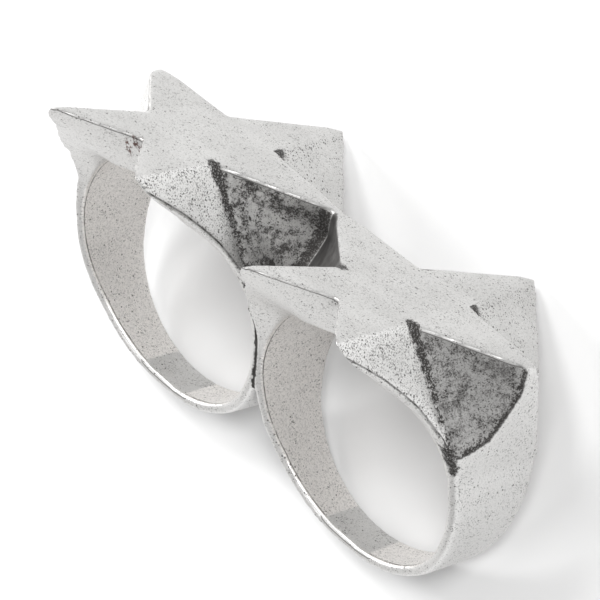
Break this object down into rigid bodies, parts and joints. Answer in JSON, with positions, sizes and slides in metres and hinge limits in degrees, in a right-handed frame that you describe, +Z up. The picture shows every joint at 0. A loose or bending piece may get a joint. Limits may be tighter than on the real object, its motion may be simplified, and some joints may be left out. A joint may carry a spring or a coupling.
{
  "type": "two-finger knuckle ring",
  "caption": "Cast metal knuckle ring worn on two neighbouring fingers, with a flat five-pointed star head over each finger band.",
  "frame": {"origin": "centre of the footprint, on the surface the ring rests on", "axes": "+X from the left ring to the right ring, +Y towards the side of the star heads, +Z up; the ring lies on its far side, so the finger holes lean 21 degrees from upright"},
  "size_m": [0.04, 0.023, 0.0266],
  "materials": {
    "antiqued_silver": "satin cast silver-coloured metal with fine dark pits and dark patina in the creases"
  },
  "bodies": {
    "root": {"knuckle_ring": "antiqued_silver"}
  },
  "joints": []
}
